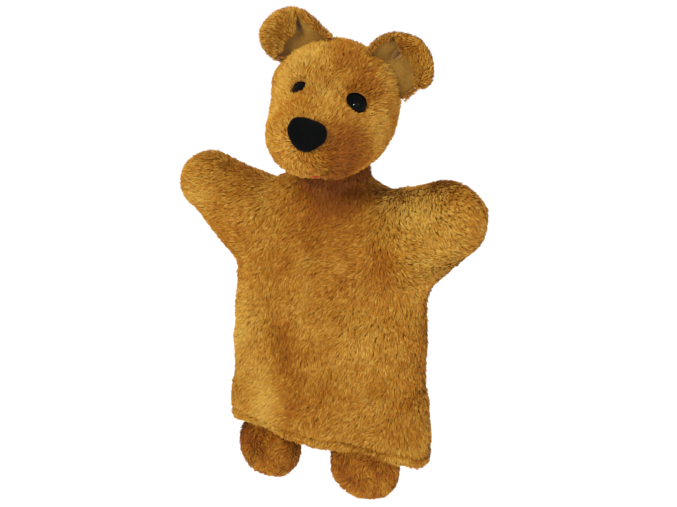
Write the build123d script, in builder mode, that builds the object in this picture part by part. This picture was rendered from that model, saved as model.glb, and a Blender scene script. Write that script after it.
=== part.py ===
from build123d import *
from math import cos, radians, sin
import os

# A plush dog hand puppet: a short pile glove with two arms for the fingers, a stuffed head
# on a finger tube, two folded ears, and two padded feet that hang inside the hem.
# Frame: +Z up, the puppet faces -Y, its own left hand is at +X, and the origin is the centre
# of the hand opening, in the plane of the hem. Millimetres.

# Cloth
PILE = 4.0  # plush, its backing and pile together
GAP = 0.2  # between pieces that are sewn or laid together
THREAD = 0.8

# Glove: height, half width and half depth of each level of the torso
TORSO_LEVELS = (
    (0.0, 61.0, 26.0),
    (50.0, 55.0, 25.0),
    (98.0, 57.0, 22.0),
    (132.0, 44.0, 20.0),
    (150.0, 24.0, 21.0),
)
HEM_STITCH_HEIGHT = 7.0

# Arms: a round root that turns in the torso's armhole, and a smaller round tip
ARM_ROOT = (46.0, 124.0)
ARM_ROOT_R = 29.0
ARM_REACH = 38.0  # from the root's centre to the tip's
ARM_TIP_R = 17.0
ARM_LIFT = {"left": 36.0, "right": 19.0}  # degrees above level, as the puppet waves
ARM_DROP = 15.0  # how far an arm goes down from there, degrees
ARM_HALF_DEPTH = 17.0
ARM_EDGE_R = 12.0
ARMHOLE_CLEARANCE = 1.0
PAW_FOLD_X = 64.0  # where the paw curls forward
PAW_FOLD_GAP = 1.0

# Neck and finger tube, in the head's own frame, whose origin is the neck's pivot
NECK_HEIGHT = 150.0
STITCH_RING_R = 16.0
HEAD_TURN = 8.0  # towards the puppet's left
HEAD_TILT = 6.0  # towards the puppet's left shoulder
HEAD_NOD = -3.0  # the nose up
SLEEVE_R = 14.5
SLEEVE_WALL = 2.2
SLEEVE_BOTTOM = -7.0
SLEEVE_TOP = 11.0
TUBE_R = 12.0
TUBE_BORE_R = 10.0
TUBE_LENGTH = 42.0
TUBE_BOTTOM = 12.5  # above the neck's pivot; the tube stands upright, whatever the head's pose
TUBE_END_WALL = 2.0

# Head: a round cranium and a blunt muzzle
CRANIUM_HEIGHT = 42.5
CRANIUM_R = 38.5
CRANIUM_HALF_HEIGHT = 39.0
MUZZLE_HEIGHT = 35.0
MUZZLE_R = 26.0
MUZZLE_CENTRE_Y = -22.0
MUZZLE_HALF_LENGTH = 35.0
HEAD_BOTTOM = 7.0
HEAD_RECESS_R = 19.5
GUSSET_HALF_WIDTH = 12.0
CHIN_SEAM_HEIGHT = 40.0

# Eyes, nose and mouth
EYE_X = 17.5
EYE_HEIGHT = 59.5
EYE_R = 5.6
EYE_DOME = 4.6
EYE_SEAT = 1.5
SHANK_R = 1.8
SHANK_LENGTH = 11.0
WASHER_R = 6.0
WASHER_DEPTH = 4.9
WASHER_THICKNESS = 1.2
NOSE_HEIGHT = 43.0
NOSE_TILT = 12.0
NOSE_TOP_R, NOSE_TOP_X, NOSE_TOP_Y = 6.0, 6.6, 3.6
NOSE_LOW_R, NOSE_LOW_Y = 4.6, -6.0
NOSE_DEPTH = 9.0
NOSE_EDGE_R = 4.5
NOSE_CLOTH = 1.2
NOSE_SEAT_Y = -52.5
MOUTH_R = 0.9
MOUTH_HALF_WIDTH = 4.5
MOUTH_PLACE = (0.0, -45.1, 14.0)

# Ears: a leaf of plush with a smooth lining, its tip folded over the front
EAR_BASE_HALF = 20.0
EAR_FOLD_HALF = 17.0
EAR_FOLD_HEIGHT = 29.0
EAR_FLAP_END = 7.0
EAR_ROOT_DEPTH = 9.0
EAR_CLEARANCE = 1.8
EAR_INNER_R = 1.6
EAR_LINING = 1.2
EAR_PLUSH = 3.0
EAR_PLACE = (27.0, 3.0, 70.5)
EAR_LEAN = 43.0  # outwards, from upright

# Feet: a padded disc below the hem, and a thin tab that goes up inside it
FOOT_X = 30.0
FOOT_Y = -12.0
FOOT_R = 18.0
FOOT_CENTRE_Z = -19.5
FOOT_HALF_DEPTH = 8.0
FOOT_EDGE_R = 6.0
FOOT_CLOTH = 3.0
TAB_HALF_WIDTH = 6.0
TAB_HALF_DEPTH = 3.0
TAB_TOP = 6.0

SIDES = {"left": 1, "right": -1}
HEAD_POSE = Location((0, 0, NECK_HEIGHT)) * Location((0, 0, 0), (HEAD_NOD, HEAD_TILT, HEAD_TURN))

os.makedirs("parts", exist_ok=True)


def save(part, name):
    """Write one finished piece as a STEP file named after its node."""
    part.label = name
    export_step(part, f"parts/{name}.step")


def in_head(part):
    """A piece of the head, moved from the head's own frame to the puppet's."""
    return HEAD_POSE * part


# ---------------------------------------------------------------- glove


def torso_form(inset):
    """The torso as one filled solid, its surface moved in by inset."""
    with BuildPart() as form:
        for height, half_width, half_depth in TORSO_LEVELS:
            with BuildSketch(Plane.XY.offset(height)):
                Ellipse(half_width - inset, half_depth - inset)
        loft()
    return form.part


def arm_tip(name, drop=0):
    """The centre of an arm's tip, seen from the front, when the arm is lowered by drop degrees."""
    lift = radians(ARM_LIFT[name] - drop)
    return (SIDES[name] * (ARM_ROOT[0] + ARM_REACH * cos(lift)), ARM_ROOT[1] + ARM_REACH * sin(lift))


def arm_prism(name, grow, reach, drops=(0,)):
    """A block, seen from the front as the arm's outline grown by grow, its tip by reach."""
    with BuildPart() as prism:
        with BuildSketch(Plane.XZ):
            with Locations((SIDES[name] * ARM_ROOT[0], ARM_ROOT[1])):
                Circle(ARM_ROOT_R + grow)
            with Locations([arm_tip(name, drop) for drop in drops]):
                Circle(ARM_TIP_R + reach)
            make_hull()
        extrude(amount=2 * ARM_HALF_DEPTH, both=True)
    return prism.part


def arm_form(name, inset):
    """The arm and its way into the torso as one filled pillow, moved in by inset."""
    with BuildPart() as form:
        with BuildSketch(Plane.XZ):
            with Locations((0, ARM_ROOT[1])):
                Circle(ARM_ROOT_R - inset)
            with Locations((SIDES[name] * ARM_ROOT[0], ARM_ROOT[1])):
                Circle(ARM_ROOT_R - inset)
            with Locations(arm_tip(name)):
                Circle(ARM_TIP_R - inset)
            make_hull()
        extrude(amount=ARM_HALF_DEPTH - inset, both=True)
        fillet(form.faces().filter_by(Axis.Y).edges(), radius=ARM_EDGE_R - inset)
    return form.part


torso_wall = torso_form(0) - torso_form(PILE)
armholes = [arm_prism(name, ARMHOLE_CLEARANCE, ARMHOLE_CLEARANCE, (0, ARM_DROP)) for name in SIDES]

with BuildPart() as torso_front:
    add(torso_wall)
    add(armholes, mode=Mode.SUBTRACT)
    split(bisect_by=Plane.XZ.offset(GAP / 2), keep=Keep.TOP)
save(torso_front.part, "torso_front")

with BuildPart() as torso_back:
    add(torso_wall)
    add(armholes, mode=Mode.SUBTRACT)
    split(bisect_by=Plane.XZ.offset(-GAP / 2), keep=Keep.BOTTOM)
save(torso_back.part, "torso_back")

with BuildPart() as hem_stitch:
    add(torso_form(-GAP - THREAD))
    add(torso_form(-GAP), mode=Mode.SUBTRACT)
    split(bisect_by=Plane.XY.offset(HEM_STITCH_HEIGHT), keep=Keep.TOP)
    split(bisect_by=Plane.XY.offset(HEM_STITCH_HEIGHT + THREAD), keep=Keep.BOTTOM)
save(hem_stitch.part, "hem_stitch")

torso_seam_wall = torso_form(PILE + GAP) - torso_form(PILE + GAP + THREAD)
for name, side in SIDES.items():
    with BuildPart() as side_seam:
        add(torso_seam_wall)
        add(armholes, mode=Mode.SUBTRACT)
        split(bisect_by=Plane.XZ.offset(THREAD), keep=Keep.BOTTOM)
        split(bisect_by=Plane.XZ.offset(-THREAD), keep=Keep.TOP)
        split(bisect_by=Plane.YZ.offset(side * ARM_ROOT[0]), keep=Keep.TOP if side > 0 else Keep.BOTTOM)
    save(side_seam.part, f"side_seam_{name}")

# ---------------------------------------------------------------- arms


def outer_part(part, side):
    """What lies beyond the paw's fold."""
    plane = Plane.YZ.offset(side * (PAW_FOLD_X + PAW_FOLD_GAP / 2))
    return split(part, bisect_by=plane, keep=Keep.TOP if side > 0 else Keep.BOTTOM)


def inner_part(part, side):
    """What lies between the shoulder and the paw's fold."""
    plane = Plane.YZ.offset(side * (PAW_FOLD_X - PAW_FOLD_GAP / 2))
    return split(part, bisect_by=plane, keep=Keep.BOTTOM if side > 0 else Keep.TOP)


for name, side in SIDES.items():
    arm_reach = arm_prism(name, 0, GAP)
    arm_wall = (arm_form(name, 0) - arm_form(name, PILE)) & arm_reach
    seam_wall = (arm_form(name, PILE + GAP) - arm_form(name, PILE + GAP + THREAD)) & arm_reach
    with BuildPart() as seam_strip:
        add(seam_wall)
        split(bisect_by=Plane.XZ.offset(THREAD), keep=Keep.BOTTOM)
        split(bisect_by=Plane.XZ.offset(-THREAD), keep=Keep.TOP)
    with BuildPart() as arm_front:
        add(arm_wall)
        split(bisect_by=Plane.XZ.offset(GAP / 2), keep=Keep.TOP)
    with BuildPart() as arm_back:
        add(arm_wall)
        split(bisect_by=Plane.XZ.offset(-GAP / 2), keep=Keep.BOTTOM)
    save(inner_part(arm_front.part, side), f"sleeve_{name}_front")
    save(inner_part(arm_back.part, side), f"sleeve_{name}_back")
    save(outer_part(arm_front.part, side), f"paw_{name}_front")
    save(outer_part(arm_back.part, side), f"paw_{name}_back")
    save(outer_part(seam_strip.part, side), f"paw_{name}_seam")
    sleeve_seams = inner_part(seam_strip.part, side).solids().sort_by(Axis.Z)
    save(sleeve_seams[0], f"sleeve_{name}_seam_under")
    save(sleeve_seams[-1], f"sleeve_{name}_seam_top")

# ---------------------------------------------------------------- neck and finger tube

with BuildPart() as neck_sleeve:
    with BuildSketch(Plane.XY.offset(SLEEVE_BOTTOM)):
        Circle(SLEEVE_R)
        Circle(SLEEVE_R - SLEEVE_WALL, mode=Mode.SUBTRACT)
    extrude(amount=SLEEVE_TOP - SLEEVE_BOTTOM)
save(in_head(neck_sleeve.part), "neck_sleeve")

with BuildPart() as neck_stitch:
    Torus(STITCH_RING_R, THREAD / 2)
save(in_head(neck_stitch.part), "neck_stitch")

tube_mouth = Plane.XY.offset(NECK_HEIGHT + TUBE_BOTTOM)

with BuildPart() as finger_tube:
    with BuildSketch(tube_mouth):
        Circle(TUBE_R)
    extrude(amount=TUBE_LENGTH)
    with BuildSketch(tube_mouth):
        Circle(TUBE_BORE_R)
    extrude(amount=TUBE_LENGTH - TUBE_END_WALL, mode=Mode.SUBTRACT)
save(finger_tube.part, "finger_tube")

with BuildPart() as tube_hole:
    with BuildSketch(tube_mouth):
        Circle(TUBE_R + GAP)
    extrude(amount=TUBE_LENGTH + GAP)
    extrude(tube_hole.faces().sort_by(Axis.Z)[0], amount=TUBE_BOTTOM)

# ---------------------------------------------------------------- head


def head_form(inset):
    """The head as one filled solid, its surface moved in by inset."""
    with BuildPart() as muzzle:
        Sphere(MUZZLE_R - inset)
        scale(by=(1, (MUZZLE_HALF_LENGTH - inset) / (MUZZLE_R - inset), 1))
    with BuildPart() as form:
        with BuildSketch(Plane.XZ):
            with Locations((0, CRANIUM_HEIGHT)):
                Ellipse(CRANIUM_R - inset, CRANIUM_HALF_HEIGHT - inset)
            split(bisect_by=Plane.YZ, keep=Keep.TOP)
        revolve(axis=Axis.Z)
        with Locations((0, MUZZLE_CENTRE_Y, MUZZLE_HEIGHT)):
            add(muzzle.part)
        split(bisect_by=Plane.XY.offset(HEAD_BOTTOM + inset), keep=Keep.TOP)
    return form.part


# The eye looks along the cranium's normal, where the shank goes through the cloth.
eye_y = -CRANIUM_R * (
    1 - (EYE_X / CRANIUM_R) ** 2 - ((EYE_HEIGHT - CRANIUM_HEIGHT) / CRANIUM_HALF_HEIGHT) ** 2
) ** 0.5


def eye_plane(side):
    """The plane of the cloth at an eye, its normal outwards."""
    normal = Vector(
        side * EYE_X / CRANIUM_R**2,
        eye_y / CRANIUM_R**2,
        (EYE_HEIGHT - CRANIUM_HEIGHT) / CRANIUM_HALF_HEIGHT**2,
    )
    return Plane(origin=(side * EYE_X, eye_y, EYE_HEIGHT), z_dir=normal)


def rod_on(plane, low, high, radius):
    """A round rod on a plane's normal, from low to high above the plane."""
    with BuildPart() as rod:
        with BuildSketch(plane.offset(low)):
            Circle(radius)
        extrude(amount=high - low)
    return rod.part


nose_plane = Plane(origin=(0, NOSE_SEAT_Y, NOSE_HEIGHT), x_dir=(1, 0, 0), z_dir=(0, -1, 0)).rotated(
    (-NOSE_TILT, 0, 0)
)


def nose_form(inset):
    """The nose as one filled pad, wide above and narrow below, moved in by inset."""
    with BuildPart() as form:
        with BuildSketch(nose_plane):
            with Locations((NOSE_TOP_X, NOSE_TOP_Y), (-NOSE_TOP_X, NOSE_TOP_Y)):
                Circle(NOSE_TOP_R - inset)
            with Locations((0, NOSE_LOW_Y)):
                Circle(NOSE_LOW_R - inset)
            make_hull()
        extrude(amount=NOSE_DEPTH - inset)
        front = form.faces().sort_by(Axis(nose_plane.origin, nose_plane.z_dir))[-1]
        fillet(front.edges(), radius=NOSE_EDGE_R - inset)
    return form.part


head_wall = head_form(0) - head_form(PILE)
neck_recess = Pos(0, 0, (SLEEVE_TOP + HEAD_BOTTOM) / 2) * Cylinder(HEAD_RECESS_R, SLEEVE_TOP + HEAD_BOTTOM)
eye_cuts = []
for side in SIDES.values():
    eye_cuts.append(rod_on(eye_plane(side), -EYE_SEAT, EYE_DOME, EYE_R + GAP))
    eye_cuts.append(rod_on(eye_plane(side), -SHANK_LENGTH, EYE_DOME, SHANK_R + GAP))
nose_cut = nose_form(-GAP)


def cut_head_wall():
    """The head's cloth with its neck hole, eye seats and nose seat."""
    with BuildPart() as wall:
        add(head_wall)
        add(neck_recess, mode=Mode.SUBTRACT)
        add(eye_cuts, mode=Mode.SUBTRACT)
        add(nose_cut, mode=Mode.SUBTRACT)
    return wall.part


head_cloth = cut_head_wall()

for name, side in SIDES.items():
    with BuildPart() as head_side:
        add(head_cloth)
        split(
            bisect_by=Plane.YZ.offset(side * (GUSSET_HALF_WIDTH + GAP / 2)),
            keep=Keep.TOP if side > 0 else Keep.BOTTOM,
        )
    save(in_head(head_side.part), f"head_side_{name}")

with BuildPart() as head_middle:
    add(head_cloth)
    split(bisect_by=Plane.YZ.offset(GUSSET_HALF_WIDTH - GAP / 2), keep=Keep.BOTTOM)
    split(bisect_by=Plane.YZ.offset(-GUSSET_HALF_WIDTH + GAP / 2), keep=Keep.TOP)

chin_zone = Pos(0, -CRANIUM_R * 2, CHIN_SEAM_HEIGHT - CRANIUM_R) * Box(
    4 * GUSSET_HALF_WIDTH, 4 * CRANIUM_R, 2 * CRANIUM_R
)
crown_zone = Pos(0, 0, GAP) * chin_zone

with BuildPart() as chin_gusset:
    add(head_middle.part)
    add(chin_zone, mode=Mode.INTERSECT)
save(in_head(chin_gusset.part), "chin_gusset")

with BuildPart() as head_gusset:
    add(head_middle.part)
    add(crown_zone, mode=Mode.SUBTRACT)
save(in_head(head_gusset.part), "head_gusset")

with BuildPart() as head_stuffing:
    add(head_form(PILE + GAP))
    add(neck_recess, mode=Mode.SUBTRACT)
    for side in SIDES.values():
        add(rod_on(eye_plane(side), -SHANK_LENGTH - GAP, 0, SHANK_R + GAP), mode=Mode.SUBTRACT)
        add(
            rod_on(eye_plane(side), -WASHER_DEPTH - WASHER_THICKNESS - GAP, 0, WASHER_R + GAP),
            mode=Mode.SUBTRACT,
        )
    add(nose_cut, mode=Mode.SUBTRACT)
save(in_head(head_stuffing.part) - tube_hole.part, "head_stuffing")

# ---------------------------------------------------------------- eyes, nose and mouth

for name, side in SIDES.items():
    plane = eye_plane(side)
    with BuildPart() as eye:
        with BuildSketch(plane.offset(-EYE_SEAT)):
            Circle(EYE_R)
        extrude(amount=EYE_DOME)
        fillet(eye.faces().sort_by(Axis(plane.origin, plane.z_dir))[-1].edges(), radius=EYE_DOME * 0.9)
        with BuildSketch(plane.offset(-SHANK_LENGTH)):
            Circle(SHANK_R)
        extrude(amount=SHANK_LENGTH - EYE_SEAT)
    save(in_head(eye.part), f"eye_{name}")

    with BuildPart() as eye_washer:
        with BuildSketch(plane.offset(-WASHER_DEPTH)):
            Circle(WASHER_R)
            Circle(SHANK_R + GAP / 4, mode=Mode.SUBTRACT)
        extrude(amount=-WASHER_THICKNESS)
    save(in_head(eye_washer.part), f"eye_washer_{name}")

with BuildPart() as nose_cover:
    add(nose_form(0))
    add(nose_form(NOSE_CLOTH), mode=Mode.SUBTRACT)
save(in_head(nose_cover.part), "nose_cover")

with BuildPart() as nose_filling:
    add(nose_form(NOSE_CLOTH + GAP / 2))
save(in_head(nose_filling.part), "nose_filling")

with BuildPart() as mouth_stitch:
    with Locations(Location(MOUTH_PLACE, (0, 90, 0))):
        Cylinder(MOUTH_R, 2 * MOUTH_HALF_WIDTH)
    fillet(mouth_stitch.edges(), radius=MOUTH_R * 0.6)
save(in_head(mouth_stitch.part), "mouth_stitch")

# ---------------------------------------------------------------- ears


def ear_layer(inner_r, thickness, shrink):
    """One layer of a folded ear: the leaf behind, the bend at its top, and the flap in front.
    Its own frame has X across the ear, Z up it and -Y to the front."""
    outer_r = inner_r + thickness
    with BuildPart() as layer:
        with BuildSketch(Plane.XZ.offset(-inner_r)):
            with BuildLine():
                Polyline(
                    (-EAR_BASE_HALF + shrink, -EAR_ROOT_DEPTH),
                    (EAR_BASE_HALF - shrink, -EAR_ROOT_DEPTH),
                    (EAR_FOLD_HALF - shrink, EAR_FOLD_HEIGHT),
                    (-EAR_FOLD_HALF + shrink, EAR_FOLD_HEIGHT),
                    close=True,
                )
            make_face()
        extrude(amount=-thickness)
        with BuildSketch(Plane.YZ):
            with Locations((0, EAR_FOLD_HEIGHT)):
                Circle(outer_r)
                Circle(inner_r, mode=Mode.SUBTRACT)
            split(bisect_by=Plane.XZ.offset(-EAR_FOLD_HEIGHT), keep=Keep.BOTTOM)
        extrude(amount=EAR_FOLD_HALF - shrink, both=True)
        with BuildSketch(Plane.XZ.offset(inner_r)):
            with BuildLine():
                tip = Line((EAR_FOLD_HALF - shrink, EAR_FOLD_HEIGHT), (-EAR_FOLD_HALF + shrink, EAR_FOLD_HEIGHT))
                ThreePointArc(tip @ 1, (0, EAR_FLAP_END + shrink), tip @ 0)
            make_face()
        extrude(amount=thickness)
    return layer.part


ear_bed = head_form(-EAR_CLEARANCE)


def place_ear(part, side):
    """An ear's piece on the head, leaning outwards, its root cut to the head's round."""
    leaning = Location(EAR_PLACE, (0, EAR_LEAN, 0)) * part - ear_bed
    return in_head(leaning if side > 0 else mirror(leaning, about=Plane.YZ))


for name, side in SIDES.items():
    ear_lining = ear_layer(EAR_INNER_R, EAR_LINING, GAP)
    ear_plush = ear_layer(EAR_INNER_R + EAR_LINING + GAP / 2, EAR_PLUSH, 0)
    save(place_ear(ear_lining, side), f"ear_{name}_lining")
    save(place_ear(ear_plush, side), f"ear_{name}_plush")

# ---------------------------------------------------------------- feet


def foot_form(side, inset):
    """A foot as one filled pad with its tab, moved in by inset."""
    with BuildPart() as disc:
        with BuildSketch(Plane.XZ.offset(-FOOT_Y)):
            with Locations((side * FOOT_X, FOOT_CENTRE_Z)):
                Circle(FOOT_R - inset)
        extrude(amount=FOOT_HALF_DEPTH - inset, both=True)
        fillet(disc.edges().filter_by(GeomType.CIRCLE), radius=FOOT_EDGE_R - inset)
    with BuildPart() as tab:
        with BuildSketch(Plane.XZ.offset(-FOOT_Y)):
            with Locations((side * FOOT_X, (TAB_TOP + FOOT_CENTRE_Z) / 2)):
                Rectangle(2 * TAB_HALF_WIDTH, TAB_TOP - FOOT_CENTRE_Z)
        extrude(amount=TAB_HALF_DEPTH, both=True)
    return disc.part, tab.part


for name, side in SIDES.items():
    foot_disc, foot_tab = foot_form(side, 0)
    foot_hollow = foot_form(side, FOOT_CLOTH)[0]
    with BuildPart() as foot_front:
        add(foot_disc)
        add(foot_tab)
        add(foot_hollow, mode=Mode.SUBTRACT)
        split(bisect_by=Plane.XZ.offset(-FOOT_Y + GAP / 2), keep=Keep.TOP)
    save(foot_front.part, f"foot_{name}_front")
    with BuildPart() as foot_back:
        add(foot_disc)
        add(foot_tab)
        add(foot_hollow, mode=Mode.SUBTRACT)
        split(bisect_by=Plane.XZ.offset(-FOOT_Y - GAP / 2), keep=Keep.BOTTOM)
    save(foot_back.part, f"foot_{name}_back")
    with BuildPart() as foot_filling:
        add(foot_form(side, FOOT_CLOTH + GAP)[0])
    save(foot_filling.part, f"foot_{name}_filling")
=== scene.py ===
import math
import bmesh
import bpy
import numpy as np
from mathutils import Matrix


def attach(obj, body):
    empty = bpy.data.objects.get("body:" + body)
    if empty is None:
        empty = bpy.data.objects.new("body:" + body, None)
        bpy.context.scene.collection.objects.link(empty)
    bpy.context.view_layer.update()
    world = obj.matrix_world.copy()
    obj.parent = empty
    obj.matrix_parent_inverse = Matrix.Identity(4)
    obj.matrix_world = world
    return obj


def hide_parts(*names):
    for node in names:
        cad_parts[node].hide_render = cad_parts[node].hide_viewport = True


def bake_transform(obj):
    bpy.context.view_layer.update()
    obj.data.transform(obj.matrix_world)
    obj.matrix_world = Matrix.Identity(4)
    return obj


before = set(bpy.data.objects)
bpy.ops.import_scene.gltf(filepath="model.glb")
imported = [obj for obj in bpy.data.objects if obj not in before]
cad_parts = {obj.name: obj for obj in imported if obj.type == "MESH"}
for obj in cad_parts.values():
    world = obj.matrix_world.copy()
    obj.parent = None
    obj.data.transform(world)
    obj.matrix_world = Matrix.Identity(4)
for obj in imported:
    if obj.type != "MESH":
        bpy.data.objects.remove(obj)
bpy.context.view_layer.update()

import openvdb
from mathutils import Matrix, Vector
from mathutils.kdtree import KDTree

# A plush dog hand puppet: a glove with two arms, a stuffed head on a finger tube, two folded ears
# and two padded feet. Every soft form but the ears is the zero surface of a distance field, and
# each plush piece carries a coat of modelled strands.
# Lengths are in millimetres until a mesh is made. Left is the puppet's own left, at +X.
MM = 0.001
DETAIL = 1.0  # the share of its strands that each coat gets
scene = bpy.context.scene

# ---- camera

TARGET = Vector((0.0054, 0.0, 0.1081))  # metres, like the distance
AZIMUTH = math.radians(26.2)
ELEVATION = math.radians(20.5)
DISTANCE = 1.3
TO_CAMERA = Vector(
    (
        math.sin(AZIMUTH) * math.cos(ELEVATION),
        -math.cos(AZIMUTH) * math.cos(ELEVATION),
        math.sin(ELEVATION),
    )
)


def add_camera():
    """Looks at the puppet from the photograph's angle."""
    camera = bpy.data.objects.new("camera", bpy.data.cameras.new("camera"))
    scene.collection.objects.link(camera)
    camera.location = TARGET + TO_CAMERA * DISTANCE
    camera.rotation_mode = "QUATERNION"
    camera.rotation_quaternion = (-TO_CAMERA).to_track_quat("-Z", "Y")
    camera.data.lens = 124.0
    camera.data.sensor_width = 36.0
    camera.data.clip_start = 0.05
    camera.data.clip_end = 20.0
    camera.data.dof.use_dof = False
    scene.camera = camera


add_camera()

# ---- fields and surfaces

TINY = 1e-6


def unit(v):
    """Vectors made one long."""
    return v / np.maximum(np.linalg.norm(v, axis=-1, keepdims=True), 1e-9)


def waves(p, size, seed, count=9):
    """Smooth noise, mostly between -1 and 1, its bumps about size across."""
    rng = np.random.default_rng(seed)
    k = unit(rng.normal(size=(count, 3))) * rng.uniform(0.7, 1.5, (count, 1)) * math.pi / size
    phase = rng.uniform(0, 2 * math.pi, count)
    return np.sin(p @ k.T + phase).sum(-1) / math.sqrt(count)


def hill(x, centre, reach):
    """1 at centre, and softly down to 0 on both sides."""
    return np.exp(-(((x - centre) / reach) ** 2))


def eased(t):
    """A smooth step from 0 to 1."""
    t = np.clip(t, 0, 1)
    return t * t * (3 - 2 * t)


def smooth_union(a, b, k):
    """Two fields joined, with a fillet of about k between them."""
    h = np.clip(0.5 + 0.5 * (b - a) / k, 0, 1)
    return b + (a - b) * h - k * h * (1 - h)


def ellipsoid(p, centre, radii):
    """About the distance from an ellipsoid."""
    q = p - np.asarray(centre, float)
    r = np.asarray(radii, float)
    a = np.linalg.norm(q / r, axis=-1)
    b = np.linalg.norm(q / (r * r), axis=-1)
    return a * (a - 1) / np.maximum(b, TINY)


def from_line(p, a, b):
    """Each point's distance from the line between a and b, and its share of the way along it."""
    a, b = np.asarray(a, float), np.asarray(b, float)
    share = np.clip(((p - a) @ (b - a)) / ((b - a) @ (b - a)), 0, 1)
    return np.linalg.norm(p - (a + share[:, None] * (b - a)), axis=-1), share


def taper(p, a, b, ra, rb):
    """The distance from a round bar from a to b whose radius goes from ra to rb."""
    away, share = from_line(p, a, b)
    return away - (ra + (rb - ra) * share)


def crease(p, a, b, width, depth):
    """A soft valley in the front along the line from a to b, each given as x and z."""
    away, share = from_line(p[:, [0, 2]], a, b)
    ends = np.sin(np.pi * np.clip(share, 0.02, 0.98)) ** 0.5
    return depth * ends * hill(away, 0, width) * np.clip(-p[:, 1] / 12, 0, 1)


def surface(field, low, high, step):
    """The zero surface of a field, as points and four-sided faces that look outwards."""
    axes = [np.arange(l, h, step) for l, h in zip(low, high)]
    grid = np.stack(np.meshgrid(*axes, indexing="ij"), -1)
    values = field(grid.reshape(-1, 3)).reshape(grid.shape[:3]).astype(np.float32)
    vdb = openvdb.FloatGrid(float(step * 3))
    vdb.copyFromArray(values, tolerance=0.0)
    points, quads = vdb.convertToQuads(isovalue=0.0)
    points = points.astype(float) * step + np.asarray(low, float)
    corner = points[quads]
    normal = np.cross(corner[:, 2] - corner[:, 0], corner[:, 3] - corner[:, 1])
    if (normal * (corner.mean(1) - points.mean(0))).sum() < 0:
        quads = quads[:, ::-1]
    return points, quads


# ---- meshes


def mesh_object(name, points, faces):
    """An object with a smooth-shaded mesh, from points in millimetres and faces of one kind."""
    mesh = bpy.data.meshes.new(name)
    points = np.asarray(points, float) * MM
    faces = np.asarray(faces)
    mesh.vertices.add(len(points))
    mesh.vertices.foreach_set("co", points.astype(np.float32).ravel())
    mesh.loops.add(faces.size)
    mesh.loops.foreach_set("vertex_index", faces.astype(np.int32).ravel())
    mesh.polygons.add(len(faces))
    mesh.polygons.foreach_set("loop_start", np.arange(0, faces.size, faces.shape[1], dtype=np.int32))
    mesh.polygons.foreach_set("use_smooth", np.full(len(faces), True))
    mesh.update(calc_edges=True)
    mesh.validate()
    obj = bpy.data.objects.new(name, mesh)
    scene.collection.objects.link(obj)
    return obj


def grid_faces(rows, columns, closed=False):
    """Faces over points laid out row by row; closed joins each row's end to its start."""
    i, j = np.meshgrid(np.arange(rows - 1), np.arange(columns if closed else columns - 1), indexing="ij")
    k = (j + 1) % columns
    above, below = i * columns, (i + 1) * columns
    return np.stack([above + j, above + k, below + k, below + j], -1).reshape(-1, 4)


def dress(obj, *materials):
    """Gives the object its materials: the outer side's, and the inner side's if it has one."""
    for material in materials:
        obj.data.materials.append(material)


def trimmed(name, source, planes):
    """A copy of source, keeping what lies on the positive side of each plane (point, normal)."""
    obj = source.copy()
    obj.data = source.data.copy()
    obj.name = name
    scene.collection.objects.link(obj)
    bm = bmesh.new()
    bm.from_mesh(obj.data)
    for point, normal in planes:
        bmesh.ops.bisect_plane(
            bm,
            geom=bm.verts[:] + bm.edges[:] + bm.faces[:],
            plane_co=Vector(point) * MM,
            plane_no=Vector(normal).normalized(),
            clear_inner=True,
            dist=1e-7,
        )
    bm.to_mesh(obj.data)
    bm.free()
    return obj


def applied(obj):
    """Makes the object's modifiers real."""
    graph = bpy.context.evaluated_depsgraph_get()
    mesh = bpy.data.meshes.new_from_object(obj.evaluated_get(graph))
    old = obj.data
    obj.modifiers.clear()
    obj.data = mesh
    bpy.data.meshes.remove(old)
    return obj


def smoothed(obj):
    """Evens out the small steps that the grid leaves in a surface."""
    soft = obj.modifiers.new("soft", "SMOOTH")
    soft.factor = 0.5
    soft.iterations = 2
    return applied(obj)


def thicken(obj, thickness):
    """Gives a sheet its thickness, inwards; its inner side takes the second material, if any."""
    solid = obj.modifiers.new("solid", "SOLIDIFY")
    solid.thickness = thickness * MM
    solid.offset = -1.0
    solid.material_offset = 1
    solid.material_offset_rim = 0
    return applied(obj)


def lift(obj, rise):
    """Raises each point by rise(points), in millimetres."""
    co = np.array([v.co for v in obj.data.vertices]) / MM
    co[:, 2] += rise(co)
    obj.data.vertices.foreach_set("co", (co * MM).astype(np.float32).ravel())
    obj.data.update()


def triangles(obj):
    """The object's corners and corner normals, three to a row, in millimetres."""
    mesh = obj.data
    mesh.calc_loop_triangles()
    co = np.empty(len(mesh.vertices) * 3, np.float32)
    mesh.vertices.foreach_get("co", co)
    no = np.empty(len(mesh.vertices) * 3, np.float32)
    mesh.vertices.foreach_get("normal", no)
    tri = np.empty(len(mesh.loop_triangles) * 3, np.int32)
    mesh.loop_triangles.foreach_get("vertices", tri)
    tri = tri.reshape(-1, 3)
    return co.reshape(-1, 3).astype(float)[tri] / MM, no.reshape(-1, 3).astype(float)[tri]


# ---- materials

BAKE_MAP = "OFBake"  # the UV map that the pile's material reads
WHITE = (1, 1, 1, 1)


def srgb(r, g, b):
    """A colour from its screen values, 0 to 255."""
    c = np.array([r, g, b]) / 255.0
    c = np.where(c <= 0.04045, c / 12.92, ((c + 0.055) / 1.055) ** 2.4)
    return (*c, 1.0)


def grey(level):
    """A grey, which a socket for a plain number takes as that number."""
    return (level, level, level, 1)


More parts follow.
